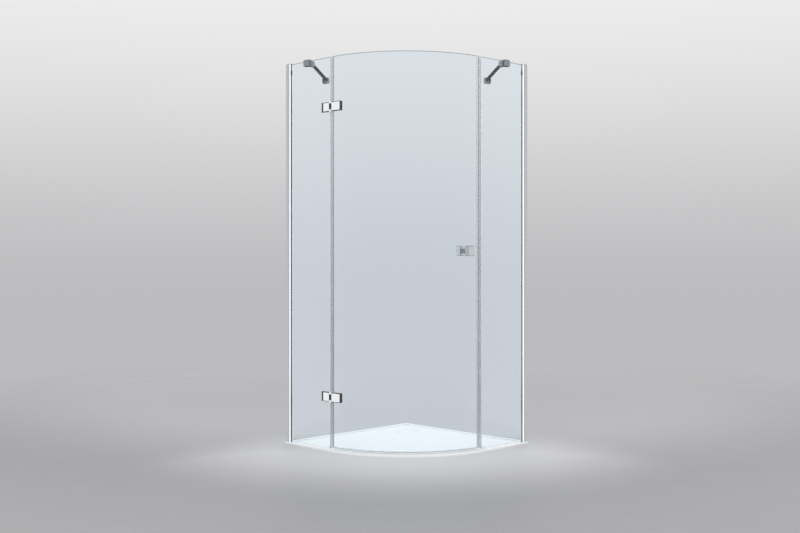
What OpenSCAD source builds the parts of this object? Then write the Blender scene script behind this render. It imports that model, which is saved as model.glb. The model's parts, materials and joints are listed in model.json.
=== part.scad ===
// Corner shower enclosure on a low quadrant tray: two fixed glass panels and a curved glass door.
// The room's walls are the planes x = 0 and y = 0, and the floor is z = 0.
// The hinge side is drawn on the left, along y = -glass_face, and the closing side is its mirror image.

/* [Footprint] */
// Length of the tray along each wall
side = 900; // [820:5:980]
// Straight length of the tray's front edges, before the round corner
straight_l = 358; // [330:1:380]
// Height of the tray above the floor
tray_h = 10; // [9:0.5:14]
// Distance from the tray's edge back to the outer face of the glass
glass_setback = 14; // [14:0.5:18]

/* [Tray] */
// Radius of the rounding along the tray's upper outer edge
tray_round = 2.5; // [1:0.25:3]
// Width of the flat rim that the glass stands on
rim_w = 46; // [40:1:60]
// Width of the flat rim along each wall
wall_rim_w = 24; // [16:1:30]
// Step from the rim down to the dished floor
dish_step = 1; // [0.5:0.25:1.5]
// Fall of the dished floor from its far edge to the waste
dish_fall = 2.5; // [1.5:0.25:3]
// Distance from each wall to the centre of the waste
waste_from_wall = 200; // [160:5:260]
// Radius of the waste hole
waste_r = 45; // [40:1:48]
// Radius of the recess that the waste cover lies in
recess_r = 58; // [54:1:62]
// Depth of the recess below the dished floor
recess_deep = 3; // [2.5:0.25:3.5]
// Radius of the waste cover
cover_r = 54; // [51:0.5:53.5]
// Height of the feet under the waste cover
cover_foot_h = 1.2; // [0.8:0.1:1.6]
// Radius of each foot
cover_foot_r = 3.5; // [2.5:0.25:4]
// Number of feet
cover_feet = 3; // [3:1:5]

/* [Glass] */
// Thickness of the glass
glass_t = 6; // [5:0.5:8]
// Height of the top edge of the glass above the floor
glass_top = 1978; // [1850:2:2050]
// Height of the fixed panels' bottom edge above the tray
panel_lift = 4; // [3:0.5:5]
// Height of the door glass above the tray
door_lift = 12; // [11.5:0.5:14]
// Distance from the hinge axis to the hinge-side panel's edge
panel_gap = 9; // [8.8:0.1:10]
// Distance from the hinge axis to the door glass
door_gap = 8; // [7.5:0.1:9]
// Distance from the hinge axis forward to the start of the round corner
axis_back = 4; // [3:0.5:6]
// How far the closing-side panel reaches past the start of the round corner
strike_reach = 1; // [0:0.5:2]
// Gap between the door glass and the closing-side panel
closing_gap = 25; // [23:0.5:30]
// Height of each hinge in from the nearest edge of the door glass
hinge_inset = 251; // [180:1:320]

/* [Wall profiles] */
// Depth of the wall channel away from the wall
channel_d = 22; // [20:0.5:24]
// Width of the wall channel
channel_w = 20; // [19:0.5:24]
// Wall thickness of the wall channel
channel_wall = 1.8; // [1.4:0.1:2]
// Distance from the wall to the back of the glazing profile
glazing_from = 6; // [5:0.5:8]
// Distance from the wall to the front of the glazing profile
glazing_to = 35; // [34:0.5:39]
// Wall thickness of the glazing profile
glazing_wall = 1.5; // [1.2:0.1:1.6]
// Sliding clearance between the two profiles, on each side
slide_gap = 0.2; // [0.1:0.05:0.3]
// Depth of the glazing profile's back chamber, with its walls
chamber_d = 15; // [14:0.5:16]
// Depth of the lips that turn in at the glazing profile's mouth
lip_d = 2.5; // [2:0.25:3]
// How far each of these lips turns in
lip_in = 1.5; // [1.25:0.25:2]
// Clearance from the bottom of the glazing pocket to the edge of the glass
pocket_gap = 3; // [2:0.5:4]
// Thickness of the gasket heads behind the lips
gasket_head = 4; // [3:0.25:5]
// Height of the profiles above the top edge of the glass
profile_over = 1; // [1:0.5:3]
// Thickness of the caps on top of the profiles
cap_t = 3; // [2:0.25:4]
// Depth of each cap's plug in the back chamber
cap_plug = 8; // [5:0.5:12]
// Rounding of the cap's corners
cap_round = 2; // [1:0.25:3]
// Number of wall screw holes in each channel
wall_holes = 4; // [3:1:5]
// Radius of the wall screw holes
wall_hole_r = 2.75; // [2.25:0.25:3]
// Distance from the channel's ends to the first and last wall screw hole
wall_hole_inset = 160; // [120:5:220]

/* [Seals] */
// Width of the seals under the fixed panels
bottom_seal_w = 10; // [9:0.5:12]
// Height of the seals under the fixed panels
bottom_seal_h = 8; // [7:0.5:9]
// Thickness of the seals' legs along the glass
seal_leg_t = 1.2; // [1:0.1:1.4]
// Reach of the seals' legs over the glass
seal_leg_l = 7; // [6:0.5:12]
// Thickness of the seals' web past the edge of the glass
seal_web_t = 2; // [1.6:0.1:2.4]
// Gap between the hinge-side seal's fin and the fixed panel
fin_gap = 2; // [1.5:0.25:3]
// Gap between the two magnetic seals when the door is shut
magnet_gap = 0.8; // [0.5:0.1:1]
// Width of the magnet in each magnetic seal
magnet_w = 6; // [5:0.5:7]
// Thickness of that magnet, at the seals' meeting faces
magnet_t = 4; // [3:0.25:5]
// Distance from the top edge of the glass down to the tops of the seals
seal_top_gap = 2; // [1:0.5:4]

/* [Threshold] */
// Height of the curved threshold rail
rail_h = 8; // [6.5:0.25:8.25]
// Width of the rail
rail_w = 12; // [10:0.5:14]
// Height of the rail's inner edge, where its top slopes down
rail_low = 4; // [3:0.5:5]
// Width of the end blocks
block_w = 16; // [14:0.5:18]
// Reach of each end block back from the start of the round corner
block_back = 31; // [24:1:58]
// How far each end block follows the round corner
block_round = 30; // [24:1:40]
// Height of the cheeks that hold the panel's corner, above the rail
cheek_h = 4; // [3:0.5:5]

/* [Hinges] */
// Height of the hinge leaves
leaf_h = 48; // [44:1:60]
// Reach of each leaf from the hinge axis
leaf_l = 70; // [64:1:78]
// Thickness of the outer leaves
leaf_t = 8; // [7:0.25:9]
// Thickness of the inner clamping plates
clamp_t = 6; // [5:0.25:7]
// Thickness of the pads between metal and glass
pad_t = 1; // [0.8:0.1:1.2]
// Rounding of the leaves' free ends
leaf_round = 7; // [4:0.5:7.5]
// Bevel along the leaves' upper and lower edges
leaf_bevel = 3.5; // [2:0.25:3.75]
// Distance from the hinge axis to the outer face of the glass
axis_out = 5; // [4.5:0.25:6]
// Radius of the knuckles
knuckle_r = 8; // [7:0.25:8.25]
// How far the knuckles stand past the leaves at each end
knuckle_over = 2; // [1:0.5:3]
// Distance from the hinge axis to the flat end of each leaf
leaf_gap = 9.5; // [9:0.1:10]
// Thickness of the metal that joins each knuckle to its leaf
bridge_t = 5; // [4:0.25:5.5]
// Radius of the hinge pin
pin_r = 3; // [2.5:0.25:3.5]
// Radius of the bush around the pin
bush_r = 6.5; // [5.5:0.25:6.75]
// Thickness of the bush's collar between the knuckles
collar_t = 0.8; // [0.6:0.1:1.2]
// Clearance above the collar
collar_gap = 0.3; // [0.2:0.05:0.4]
// Thickness of the knuckle's floor under the bush
knuckle_floor = 3; // [2:0.5:4]
// Width of the windows in the knuckles, in front of the bushes
window_w = 15; // [12:0.5:15.5]
// Height of each window from the joint between the knuckles
window_h = 15; // [10:0.5:18]
// Distance between the two screws of each leaf
leaf_screw_gap = 32; // [26:1:36]
// Distance from the hinge axis to the leaf's middle between the screws
leaf_mid = 40; // [38:0.5:42]
// Radius of the leaf screws
leaf_screw_r = 2.5; // [2:0.25:3]
// Radius of their countersunk heads
leaf_head_r = 5; // [4.5:0.25:5.5]
// Depth of the countersunk heads
leaf_head_h = 2.5; // [2:0.25:3]
// Depth of the threaded holes in the outer leaves
leaf_thread = 5.5; // [4:0.5:6]
// Radius of the holes in the glass
glass_hole_r = 7; // [6:0.5:8]
// Across-flats size of the screws' hexagon sockets
hex_w = 3; // [2.5:0.25:3.25]

/* [Knob] */
// Distance from the closing edge of the door to the middle of the knob
knob_edge_gap = 80; // [60:1:110]
// Height of the middle of the knob above the floor
knob_z = 1004; // [900:2:1100]
// Width of the knob
knob_w = 34; // [30:0.5:44]
// Height of the knob
knob_h = 50; // [40:0.5:60]
// Depth of the knob's head
knob_d = 36; // [24:0.5:40]
// Rounding of the knob's edges
knob_round = 3; // [1.5:0.25:5]
// Length of the stem between the glass and the knob's head
stem_l = 17; // [12:0.5:22]
// Radius of the stem
stem_r = 9; // [7.5:0.25:11]
// Radius of the stud that joins the two knobs
stud_r = 4; // [3:0.25:5]
// How deep the stud sits in each knob
stud_in = 14; // [8:0.5:18]
// Radius of the hole for the stud in the glass
stud_hole_r = 6; // [5.75:0.25:7]
// Thickness of the clear washers against the glass
washer_t = 1; // [0.8:0.1:1.5]

/* [Support arms] */
// Distance from the wall to the middle of the glass clamp
arm_clamp_x = 166; // [140:1:200]
// Length of the glass clamp along the glass
arm_clamp_l = 40; // [39:1:50]
// How far the clamp reaches below the top edge of the glass
arm_clamp_drop = 26; // [22:1:32]
// Thickness of the clamp above the glass
arm_clamp_top = 7; // [6:0.5:9]
// Thickness of the clamp's outer cheek
arm_cheek_out = 9; // [7:0.5:10]
// Thickness of the clamp's inner cheek
arm_cheek_in = 9; // [8:0.5:13]
// Rounding of the clamp's upper edges
arm_clamp_round = 3; // [1:0.5:4]
// Radius of the bar
bar_r = 9; // [7.5:0.25:9.5]
// Radius of the socket on the clamp
clamp_socket_r = 13; // [12.5:0.25:14]
// Height of the socket on the clamp
clamp_socket_h = 28; // [27:0.5:30]
// Depth of that socket's middle below the top edge of the glass
bar_drop = 13; // [12:0.5:15]
// Radius of the socket at the wall
wall_socket_r = 14; // [13.5:0.25:15]
// Height of the socket at the wall
wall_socket_h = 30; // [29:0.5:32]
// Distance from the wall to the middle of that socket
wall_socket_out = 21; // [20.5:0.5:24]
// Distance from the other wall to the bar's wall fixing
wall_fixing_y = 626; // [580:2:680]
// Depth of the wall fixing below the top edge of the glass
wall_fixing_drop = 52; // [36:1:70]
// Rounding of the sockets' ends
socket_round = 4; // [2:0.25:5]
// Radius of the round plate on the wall
rosette_r = 17; // [16:0.5:20]
// Thickness of that plate
rosette_t = 7; // [6:0.5:8]
// Radius of the base disc inside the plate
base_r = 12; // [11:0.5:13]
// Thickness of the base disc
base_t = 4.5; // [3.5:0.25:5]
// Radius of the wall screw hole in the base disc
base_hole_r = 2.75; // [2.25:0.25:3]
// Radius of the room for the screw's head
base_head_r = 6; // [5:0.25:6.5]
// Radius of the clamp's pinch screws
pinch_r = 2.5; // [2:0.25:2.75]
// Radius of the set screws that hold the bar and the base disc
set_r = 2; // [1.5:0.25:2.25]

/* [Hidden] */
$fn = 96;
// Segments of a full circle on the long curves of the tray, the rail and the door
long_fn = 240;
// Overrun of every cut past the face that it opens
over = 1;
// Radial clearance of a turning or loose round fit
run_fit = 0.05;
// Clearance between a plug or cover and the hole that it drops in
drop_fit = 0.3;
// Height that the door bottom's lip clears the threshold by
sweep_gap = 0.6;
// Gap between a seal's end and the metal next to it
seal_end_gap = 1;
// Thickness of the end blocks' walls past the edge of the glass
cheek_wall = 1;
// Bevel along the rail's upper outer edge
rail_bevel = 1;

// Colours, as the photograph shows them
white_cast = "#f4f8fa";
aluminium = "#d3d6d8";
satin_aluminium = "#b4b6b8";
chrome = "#d4d7da";
satin_chrome = "#b6b7b9";
bright_steel = "#7b8184";
clear_glass = [0.80, 0.86, 0.90, 0.35];
clear_plastic = [0.72, 0.75, 0.78, 0.7];
black_rubber = "#1d1f21";
black_plastic = "#26282a";
grey_magnet = "#8f9498";
pale_magnet = "#c4cacd";
steel = "#9ea3a7";

// The glass line
glass_face = side - glass_setback;
glass_back = glass_face - glass_t;
glass_mid = glass_face - glass_t / 2;
arc_out = glass_face - straight_l;
arc_in = glass_back - straight_l;
arc_mid = glass_mid - straight_l;
panel_bottom = tray_h + panel_lift;
rail_top = tray_h + rail_h;
door_bottom = tray_h + door_lift;
axis_x = straight_l - axis_back;
axis_y = glass_face + axis_out;
left_end = axis_x - panel_gap;
block_from = straight_l - block_back;
right_end = straight_l + strike_reach;
door_from = axis_x + door_gap;
door_to = right_end + closing_gap;
door_a0 = across_deg(door_from - straight_l);
door_a1 = 90 - across_deg(door_to - straight_l);

// Hinges and knob
upper_z = glass_top - hinge_inset;
lower_z = door_bottom + hinge_inset;
knuckle_h = leaf_h / 2 + knuckle_over;
knuckle_low = collar_t / 2 + collar_gap;
leaf_in = glass_face + pad_t;
leaf_face = leaf_in + leaf_t;
clamp_in = glass_back - pad_t;
knob_a = door_a1 - along_deg(knob_edge_gap, arc_out);
// Depth of the glass's hollow face under the inner washer
washer_sag = arc_in - sqrt(pow(arc_in, 2) - pow(stem_r + washer_t, 2));

// Wall profiles
glazing_w = channel_w - 2 * (channel_wall + slide_gap);
pocket_from = glazing_from + chamber_d;
panel_from = pocket_from + pocket_gap;
mouth_w = glazing_w - 2 * (glazing_wall + lip_in);
profile_top = glass_top + profile_over;
profile_l = profile_top - tray_h;
wall_hole_step = (profile_l - 2 * wall_hole_inset) / (wall_holes - 1);
lock_x = glazing_from + chamber_d / 2;
// Radius of the profiles' locking screws
lock_r = 1.75;
// Radius of their heads
lock_head_r = 3.5;
// Height of their heads
lock_head_h = 2;
// How far they reach into the back chamber
lock_in = 2.5;
// Share of the profile's length where each locking screw sits
lock_shares = [0.08, 0.5, 0.92];

// Tray
dish_edge_z = tray_h - dish_step;
dish_low_z = dish_edge_z - dish_fall;
recess_z = dish_low_z - recess_deep;
// Radius at which the dished floor reaches its far edge
dish_r = side * sqrt(2) - waste_from_wall;

// Support arms
arm_z = glass_top - bar_drop;
wall_fixing_z = glass_top - wall_fixing_drop;
arm_clamp_in = glass_back - pad_t - arm_cheek_in;
socket_x = arm_clamp_x + arm_clamp_l / 2 - clamp_socket_r + drop_fit;
socket_y = arm_clamp_in - clamp_socket_r + drop_fit;
bar_start = [socket_x, -socket_y, arm_z];
bar_stop = [wall_socket_out, -wall_fixing_y, wall_fixing_z];
bar_run = bar_stop - bar_start;
// How far the bar's ends stay from the middle of their sockets
bar_end_gap = 4;

// Magnetic seals: both meet in the middle of the closing gap, in front of the panel's edge
meet = (right_end + door_to) / 2;
strike_face = meet - magnet_gap / 2;
door_face = meet + magnet_gap / 2;
seal_top = glass_top - seal_top_gap;
// Height of the lip under the door
drip_h = door_bottom - seal_leg_t - rail_top - sweep_gap;
strike_bottom = rail_top + cheek_h + seal_end_gap;
face_a = 90 - across_deg(door_face - straight_l);
magnet_a = face_a - along_deg(magnet_t, arc_mid);

// Angle whose sine spans a distance across the arc's middle line
function across_deg(d) = asin(d / arc_mid);
// Angle of a length along a circle
function along_deg(l, r) = l / r * 180 / PI;
// Turn that lays the z axis along a vector
function lay(v) = [0, acos(v[2] / norm(v)), atan2(v[1], v[0])];

// Copy for the closing side, mirrored across the corner's diagonal
module right() {
    mirror([1, 1, 0]) children();
}

// Frame on the arc: x points outwards, y runs from the hinge side to the closing side
module at_angle(a) {
    translate([straight_l, -straight_l, 0]) rotate([0, 0, a - 90]) children();
}

// Sweep of a section round the arc between two angles, with x as radius
module arc_sweep(a0, a1) {
    at_angle(a0) rotate_extrude(angle = a1 - a0, $fn = long_fn) children();
}

// Sweep of a section along the hinge-side straight, with x as distance outwards from the wall y = 0
module straight_sweep(from, to) {
    translate([to, 0, 0]) rotate([90, 0, -90]) linear_extrude(to - from) children();
}

// Quadrant outline whose straight edges lie at the given distance from the walls
module quadrant(reach) {
    translate([0, -reach]) square([straight_l, reach]);
    translate([0, -straight_l]) square([reach, straight_l]);
    intersection() {
        translate([straight_l, -straight_l]) circle(r = reach - straight_l, $fn = long_fn);
        translate([straight_l, -reach]) square(reach - straight_l);
    }
}

// What a rounding of radius r takes off an upper outer edge at the origin
module rounding(r) {
    difference() {
        translate([-r, -r]) square(r + over);
        translate([-r, -r]) circle(r = r);
    }
}

// Square with rounded corners
module soft_square(w, h, r) {
    translate([-w / 2 + r, -h / 2]) square([w - 2 * r, h]);
    translate([-w / 2, -h / 2 + r]) square([w, h - 2 * r]);
    for (i = [-1, 1], j = [-1, 1])
        translate([i * (w / 2 - r), j * (h / 2 - r)]) circle(r = r);
}

// Tube standing on z = 0
module ring(r_out, r_in, h) {
    difference() {
        cylinder(r = r_out, h = h);
        translate([0, 0, -over]) cylinder(r = r_in, h = h + 2 * over);
    }
}

// Tray with its rounded front edge, dished floor, waste hole and recess
module shower_tray() {
    edge_r = side - straight_l;
    color(white_cast) difference() {
        linear_extrude(tray_h) quadrant(side);
        straight_sweep(-over, straight_l) translate([side, tray_h]) rounding(tray_round);
        right() straight_sweep(-over, straight_l) translate([side, tray_h]) rounding(tray_round);
        arc_sweep(0, 90) translate([edge_r, tray_h]) rounding(tray_round);
        intersection() {
            linear_extrude(tray_h + over) intersection() {
                quadrant(side - rim_w);
                translate([wall_rim_w, -side]) square(side - wall_rim_w);
            }
            translate([waste_from_wall, -waste_from_wall, 0]) {
                translate([0, 0, dish_low_z])
                    cylinder(r1 = recess_r, r2 = dish_r, h = dish_fall, $fn = long_fn);
                translate([0, 0, dish_edge_z])
                    cylinder(r = dish_r, h = dish_step + over, $fn = long_fn);
            }
        }
        translate([waste_from_wall, -waste_from_wall, -over])
            cylinder(r = waste_r, h = tray_h + 2 * over);
        translate([waste_from_wall, -waste_from_wall, recess_z])
            cylinder(r = recess_r, h = tray_h);
    }
}

// Loose cover over the waste, on short feet so that water runs in round its edge
module waste_cover() {
    plate_t = recess_deep - cover_foot_h;
    foot_at = (waste_r + cover_r) / 2;
    color(white_cast) translate([waste_from_wall, -waste_from_wall, recess_z]) {
        translate([0, 0, cover_foot_h]) cylinder(r = cover_r, h = plate_t);
        for (i = [0 : cover_feet - 1])
            rotate([0, 0, i * 360 / cover_feet]) translate([foot_at, 0, 0])
                cylinder(r = cover_foot_r, h = cover_foot_h);
    }
}

// U-shaped channel screwed to the wall
module wall_channel() {
    half = channel_w / 2;
    color(satin_aluminium) difference() {
        translate([0, -glass_mid, tray_h]) linear_extrude(profile_l) difference() {
            translate([0, -half]) square([channel_d, channel_w]);
            translate([channel_wall, channel_wall - half])
                square([channel_d, channel_w - 2 * channel_wall]);
        }
        for (i = [0 : wall_holes - 1])
            translate([-over, -glass_mid, tray_h + wall_hole_inset + i * wall_hole_step])
                rotate([0, 90, 0]) cylinder(r = wall_hole_r, h = channel_wall + 2 * over);
        for (share = lock_shares) lock_hole(share, lock_r + run_fit);
    }
}

// Cut for one locking screw, through the channel's and the glazing profile's inner walls
module lock_hole(share, r) {
    translate([lock_x, -glass_mid + channel_w / 2 + over, tray_h + share * profile_l])
        rotate([90, 0, 0])
            cylinder(r = r, h = channel_wall + slide_gap + glazing_wall + 2 * over);
}

// Glazing profile that slides in the channel and holds the glass
module glazing_profile() {
    half = glazing_w / 2;
    long = glazing_to - glazing_from;
    color(aluminium) difference() {
        translate([0, -glass_mid, tray_h]) linear_extrude(profile_l) difference() {
            translate([glazing_from, -half]) square([long, glazing_w]);
            translate([glazing_from + glazing_wall, glazing_wall - half])
                square([chamber_d - 2 * glazing_wall, glazing_w - 2 * glazing_wall]);
            translate([pocket_from, glazing_wall - half])
                square([glazing_to - lip_d - pocket_from, glazing_w - 2 * glazing_wall]);
            translate([pocket_from, -mouth_w / 2]) square([long, mouth_w]);
        }
        for (share = lock_shares) lock_hole(share, lock_r);
    }
}

// Rubber gaskets on both sides of the glass, with heads behind the profile's lips
module profile_gaskets() {
    head_w = glazing_w / 2 - glazing_wall - glass_t / 2;
    color(black_rubber) translate([0, -glass_mid, tray_h]) linear_extrude(profile_l)
        for (i = [0, 1]) mirror([0, i]) {
            translate([glazing_to - lip_d - gasket_head, glass_t / 2])
                square([gasket_head, head_w]);
            translate([glazing_to - lip_d - gasket_head, glass_t / 2])
                square([gasket_head + lip_d, mouth_w / 2 - glass_t / 2]);
        }
}

// Cap over both profiles, with a plug in the back chamber
module profile_cap() {
    plug_x = chamber_d - 2 * (glazing_wall + drop_fit);
    plug_y = glazing_w - 2 * (glazing_wall + drop_fit);
    plug_from = glazing_from + glazing_wall + drop_fit;
    color(satin_aluminium) translate([0, -glass_mid, profile_top]) {
        linear_extrude(cap_t) {
            translate([glazing_to / 2, 0]) soft_square(glazing_to, channel_w, cap_round);
            translate([0, -channel_w / 2]) square([glazing_to / 2, channel_w]);
        }
        translate([plug_from, -plug_y / 2, -cap_plug]) cube([plug_x, plug_y, cap_plug]);
    }
}

// Screws that lock the glazing profiles in their channels, three on each side
module profile_lock_screws() {
    shank = channel_wall + slide_gap + glazing_wall + lock_in;
    color(steel) for (turn = [0, 1], share = lock_shares)
        mirror([turn, turn, 0])
            translate([lock_x, -glass_mid + channel_w / 2, tray_h + share * profile_l])
                rotate([90, 0, 0]) {
                    cylinder(r = lock_r, h = shank);
                    translate([0, 0, -lock_head_h]) difference() {
                        cylinder(r1 = lock_head_r - lock_head_h / 2, r2 = lock_head_r, h = lock_head_h);
                        translate([0, 0, -over])
                            cylinder(d = lock_head_r, h = lock_head_h / 2 + over, $fn = 6);
                    }
                }
}

// Flat glass panel between the wall profile and the given end
module flat_panel(end) {
    translate([panel_from, -glass_face, panel_bottom])
        cube([end - panel_from, glass_t, glass_top - panel_bottom]);
}

// Hinge-side panel, drilled for the two hinges
module left_glass_panel() {
    color(clear_glass) difference() {
        flat_panel(left_end);
        for (z = [upper_z, lower_z], i = [-1, 1])
            panel_screw_at(i, z) translate([0, 0, -over])
                cylinder(r = glass_hole_r, h = glass_t + 2 * over);
    }
}

// Closing-side panel
module right_glass_panel() {
    color(clear_glass) right() flat_panel(right_end);
}

// Frame of a leaf screw in the hinge-side panel: z points outwards, from the glass's inner face
module panel_screw_at(i, z) {
    translate([axis_x - leaf_mid + i * leaf_screw_gap / 2, -glass_back, z])
        rotate([90, 0, 0]) children();
}

// Frame of a leaf screw in the door: z points outwards, from the glass's inner face
module door_screw_at(i, z) {
    a = across_deg(axis_x + leaf_mid + i * leaf_screw_gap / 2 - straight_l);
    at_angle(a) translate([arc_in, 0, z]) rotate([0, 90, 0]) children();
}

// Seal under a fixed panel, from the wall profile to the end block
module bottom_seal() {
    leg = (bottom_seal_w - glass_t) / 2;
    color(clear_plastic) straight_sweep(glazing_to, block_from) translate([glass_mid, tray_h])
        difference() {
            polygon([
                [-bottom_seal_w / 2, 0],
                [bottom_seal_w / 2, 0],
                [bottom_seal_w / 2 - leg / 2, bottom_seal_h],
                [leg / 2 - bottom_seal_w / 2, bottom_seal_h]
            ]);
            translate([-glass_t / 2, panel_lift]) square([glass_t, bottom_seal_h]);
        }
}

// Legs of a seal that grip the closing-side panel's edge, and its web and hollow nose
module strike_seal() {
    outer = glass_t / 2 + seal_leg_t;
    color(clear_plastic) right()
        translate([0, -glass_mid, strike_bottom]) linear_extrude(seal_top - strike_bottom)
            difference() {
                translate([right_end - seal_leg_l, -outer])
                    square([strike_face - right_end + seal_leg_l, 2 * outer]);
                translate([right_end - seal_leg_l - over, -glass_t / 2])
                    square([seal_leg_l + over, glass_t]);
                translate([right_end + seal_web_t, -glass_t / 2])
                    square([strike_face - right_end - seal_web_t - magnet_t - seal_leg_t, glass_t]);
                translate([strike_face - magnet_t, -magnet_w / 2]) square([magnet_t + over, magnet_w]);
            }
}

// Magnet strip in the strike seal
module strike_magnet() {
    color(pale_magnet) right()
        translate([strike_face - magnet_t, -glass_mid - magnet_w / 2, strike_bottom])
            cube([magnet_t, magnet_w, seal_top - strike_bottom]);
}

// Magnetic seal on the door's closing edge: grips the glass, then a hollow nose and the magnet's slot
module door_magnet_seal() {
    tall = seal_top - door_bottom;
    leg_a = door_a1 - along_deg(seal_leg_l, arc_mid);
    web_a = door_a1 + along_deg(seal_web_t, arc_mid);
    slot_a = magnet_a - along_deg(seal_leg_t, arc_mid);
    past = along_deg(over, arc_mid);
    color(clear_plastic) difference() {
        arc_sweep(leg_a, face_a) translate([arc_in - seal_leg_t, door_bottom])
            square([glass_t + 2 * seal_leg_t, tall]);
        arc_sweep(leg_a - past, door_a1) translate([arc_in, door_bottom - over])
            square([glass_t, tall + 2 * over]);
        arc_sweep(web_a, slot_a) translate([arc_in, door_bottom - over])
            square([glass_t, tall + 2 * over]);
        arc_sweep(magnet_a, face_a + past) translate([arc_mid - magnet_w / 2, door_bottom - over])
            square([magnet_w, tall + 2 * over]);
    }
}

// Magnet strip in the door's seal
module door_magnet() {
    color(grey_magnet) arc_sweep(magnet_a, face_a) translate([arc_mid - magnet_w / 2, door_bottom])
        square([magnet_w, seal_top - door_bottom]);
}

// Curved rail that the door closes over, with its top sloping inwards
module threshold_rail() {
    rail_a0 = across_deg(block_round);
    rail_a1 = 90 - rail_a0;
    color(aluminium) arc_sweep(rail_a0, rail_a1) translate([arc_mid, tray_h])
        polygon([
            [-rail_w / 2, 0],
            [rail_w / 2, 0],
            [rail_w / 2, rail_h - rail_bevel],
            [rail_w / 2 - rail_bevel, rail_h],
            [0, rail_h],
            [-rail_w / 2, rail_low]
        ]);
}

// Block at the end of the rail, with cheeks that hold a fixed panel's lower corner
module threshold_end(panel_end) {
    half = block_w / 2;
    cheek_to = panel_end + cheek_wall;
    color(bright_steel) difference() {
        union() {
            straight_sweep(block_from, straight_l) translate([glass_mid - half, tray_h])
                square([block_w, rail_h]);
            arc_sweep(0, across_deg(block_round)) translate([arc_mid - half, tray_h])
                square([block_w, rail_h]);
            translate([block_from, -glass_mid - half, tray_h])
                cube([cheek_to - block_from, block_w, rail_h + cheek_h]);
        }
        translate([block_from - over, -glass_face, panel_bottom])
            cube([panel_end - block_from + over, glass_t, rail_h + cheek_h]);
    }
}

// Clamp that straddles the top edge of a fixed panel and carries the bar's socket
module arm_clamp() {
    out = glass_face + pad_t + arm_cheek_out;
    tall = arm_clamp_drop + arm_clamp_top;
    wide = out - arm_clamp_in;
    color(bright_steel) difference() {
        union() {
            translate([arm_clamp_x - arm_clamp_l / 2, 0, glass_top - arm_clamp_drop])
                rotate([90, 0, 90]) linear_extrude(arm_clamp_l) difference() {
                    translate([-out, 0]) square([wide, tall]);
                    translate([-arm_clamp_in, tall]) rounding(arm_clamp_round);
                    translate([-out, tall]) mirror([1, 0]) rounding(arm_clamp_round);
                }
            translate([socket_x, -socket_y, arm_z]) socket_body(clamp_socket_r, clamp_socket_h);
            translate([socket_x - clamp_socket_r / 2, -arm_clamp_in - over, arm_z - clamp_socket_h / 3])
                cube([clamp_socket_r, clamp_socket_r, clamp_socket_h * 2 / 3]);
        }
        translate([arm_clamp_x - arm_clamp_l / 2 - over, -glass_face - pad_t, 0])
            cube([arm_clamp_l + 2 * over, glass_t + 2 * pad_t, glass_top + drop_fit]);
        for (x = pinch_xs) pinch_at(x) cylinder(r = pinch_r, h = arm_cheek_in + 2 * over);
        bar_bore(bar_start, bar_run);
        translate([socket_x, -socket_y, arm_z - clamp_socket_h / 2 - over])
            cylinder(r = set_r, h = clamp_socket_h / 2);
    }
}

// Places of the two pinch screws along the clamp
pinch_xs = [
    arm_clamp_x - arm_clamp_l / 2 + 2 * pinch_r,
    socket_x - clamp_socket_r - pinch_r
];

// Frame of a pinch screw: z points inwards to the glass, from past the clamp's inner face
module pinch_at(x) {
    translate([x, over - arm_clamp_in, glass_top - arm_clamp_drop / 2]) rotate([90, 0, 0]) children();
}

// Round socket with soft ends, centred on the origin
module socket_body(r, h) {
    rotate_extrude() difference() {
        translate([0, -h / 2]) square([r, h]);
        for (i = [0, 1]) mirror([0, i]) translate([r, h / 2]) rounding(socket_round);
    }
}

// Bore for a bar that starts near the given point and runs along a vector
module bar_bore(from, run) {
    translate(from) rotate(lay(run)) translate([0, 0, bar_end_gap])
        cylinder(r = bar_r + run_fit, h = 3 * wall_socket_r);
}

// Pads between the clamp and the glass
module arm_pads() {
    color(black_rubber) for (y = [glass_face + pad_t, glass_back])
        translate([arm_clamp_x - arm_clamp_l / 2, -y, glass_top - arm_clamp_drop])
            cube([arm_clamp_l, pad_t, arm_clamp_drop]);
}

// Round bar from the clamp down to the wall
module arm_bar() {
    color(bright_steel) translate(bar_start) rotate(lay(bar_run))
        translate([0, 0, bar_end_gap])
            cylinder(r = bar_r, h = norm(bar_run) - 2 * bar_end_gap);
}

// Socket on its round plate, which covers the base disc on the wall
module arm_wall_socket() {
    color(bright_steel) difference() {
        union() {
            translate([0, -wall_fixing_y, wall_fixing_z]) rotate([0, 90, 0])
                rotate_extrude() difference() {
                    square([rosette_r, rosette_t]);
                    translate([rosette_r, rosette_t]) rounding(cap_round);
                }
            translate(bar_stop) socket_body(wall_socket_r, wall_socket_h);
            translate([rosette_t - over, -wall_fixing_y, wall_fixing_z]) rotate([0, 90, 0])
                cylinder(r = wall_socket_r * 2 / 3, h = wall_socket_out - rosette_t);
        }
        translate([-over, -wall_fixing_y, wall_fixing_z]) rotate([0, 90, 0]) {
            cylinder(r = base_r + run_fit, h = base_t + over);
            cylinder(r = base_head_r, h = wall_socket_out - bar_r);
        }
        bar_bore(bar_stop, -bar_run);
        translate(bar_stop - [0, 0, wall_socket_h / 2 + over]) cylinder(r = set_r, h = wall_socket_h / 2);
        translate([base_t / 2, -wall_fixing_y, wall_fixing_z - rosette_r - over])
            cylinder(r = set_r, h = rosette_r);
    }
}

// Base disc screwed to the wall
module arm_wall_base() {
    color(steel) translate([0, -wall_fixing_y, wall_fixing_z]) rotate([0, 90, 0])
        ring(base_r, base_hole_r, base_t);
}

// Set screw with a hexagon socket, pointing up
module set_screw(r, l) {
    difference() {
        cylinder(r = r, h = l);
        translate([0, 0, -over]) cylinder(r = r / 2, h = l / 3 + over, $fn = 6);
    }
}

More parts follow.
